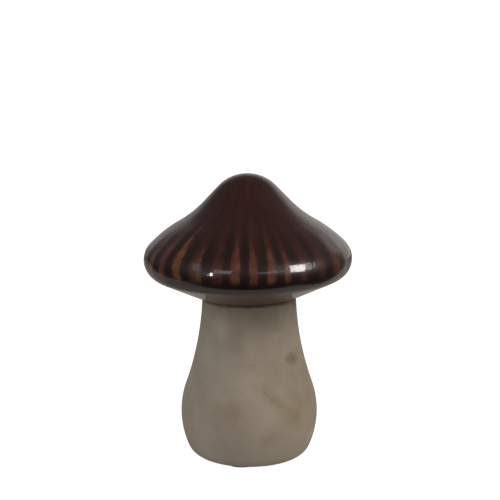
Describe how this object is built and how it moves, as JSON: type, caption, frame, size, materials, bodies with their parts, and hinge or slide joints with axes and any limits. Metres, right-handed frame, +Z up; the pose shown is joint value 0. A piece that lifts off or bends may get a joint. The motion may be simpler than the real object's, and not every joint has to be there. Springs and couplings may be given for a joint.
{
  "type": "mushroom ornament",
  "caption": "Hand-sized stoneware mushroom ornament: a glossy streaked brown cap with a pointed crown, luted onto a bare, bulbous stem that stands on felt discs.",
  "frame": {"origin": "on the surface that the ornament stands on, at the axis of the stem", "axes": "+Z up along the stem's axis towards the crown, -Y towards the viewer of the picture, +X to the viewer's right"},
  "size_m": [0.1099, 0.11, 0.1531],
  "materials": {
    "cap_glaze": "glossy streaked brown reactive glaze",
    "stem_stoneware": "matt unglazed stoneware",
    "joint_slip": "matt fired slip",
    "pad_felt": "dark pressed felt"
  },
  "bodies": {
    "root": {"cap": "cap_glaze", "stem": "stem_stoneware", "slip_ring": "joint_slip", "foot_pads": "pad_felt"}
  },
  "joints": []
}
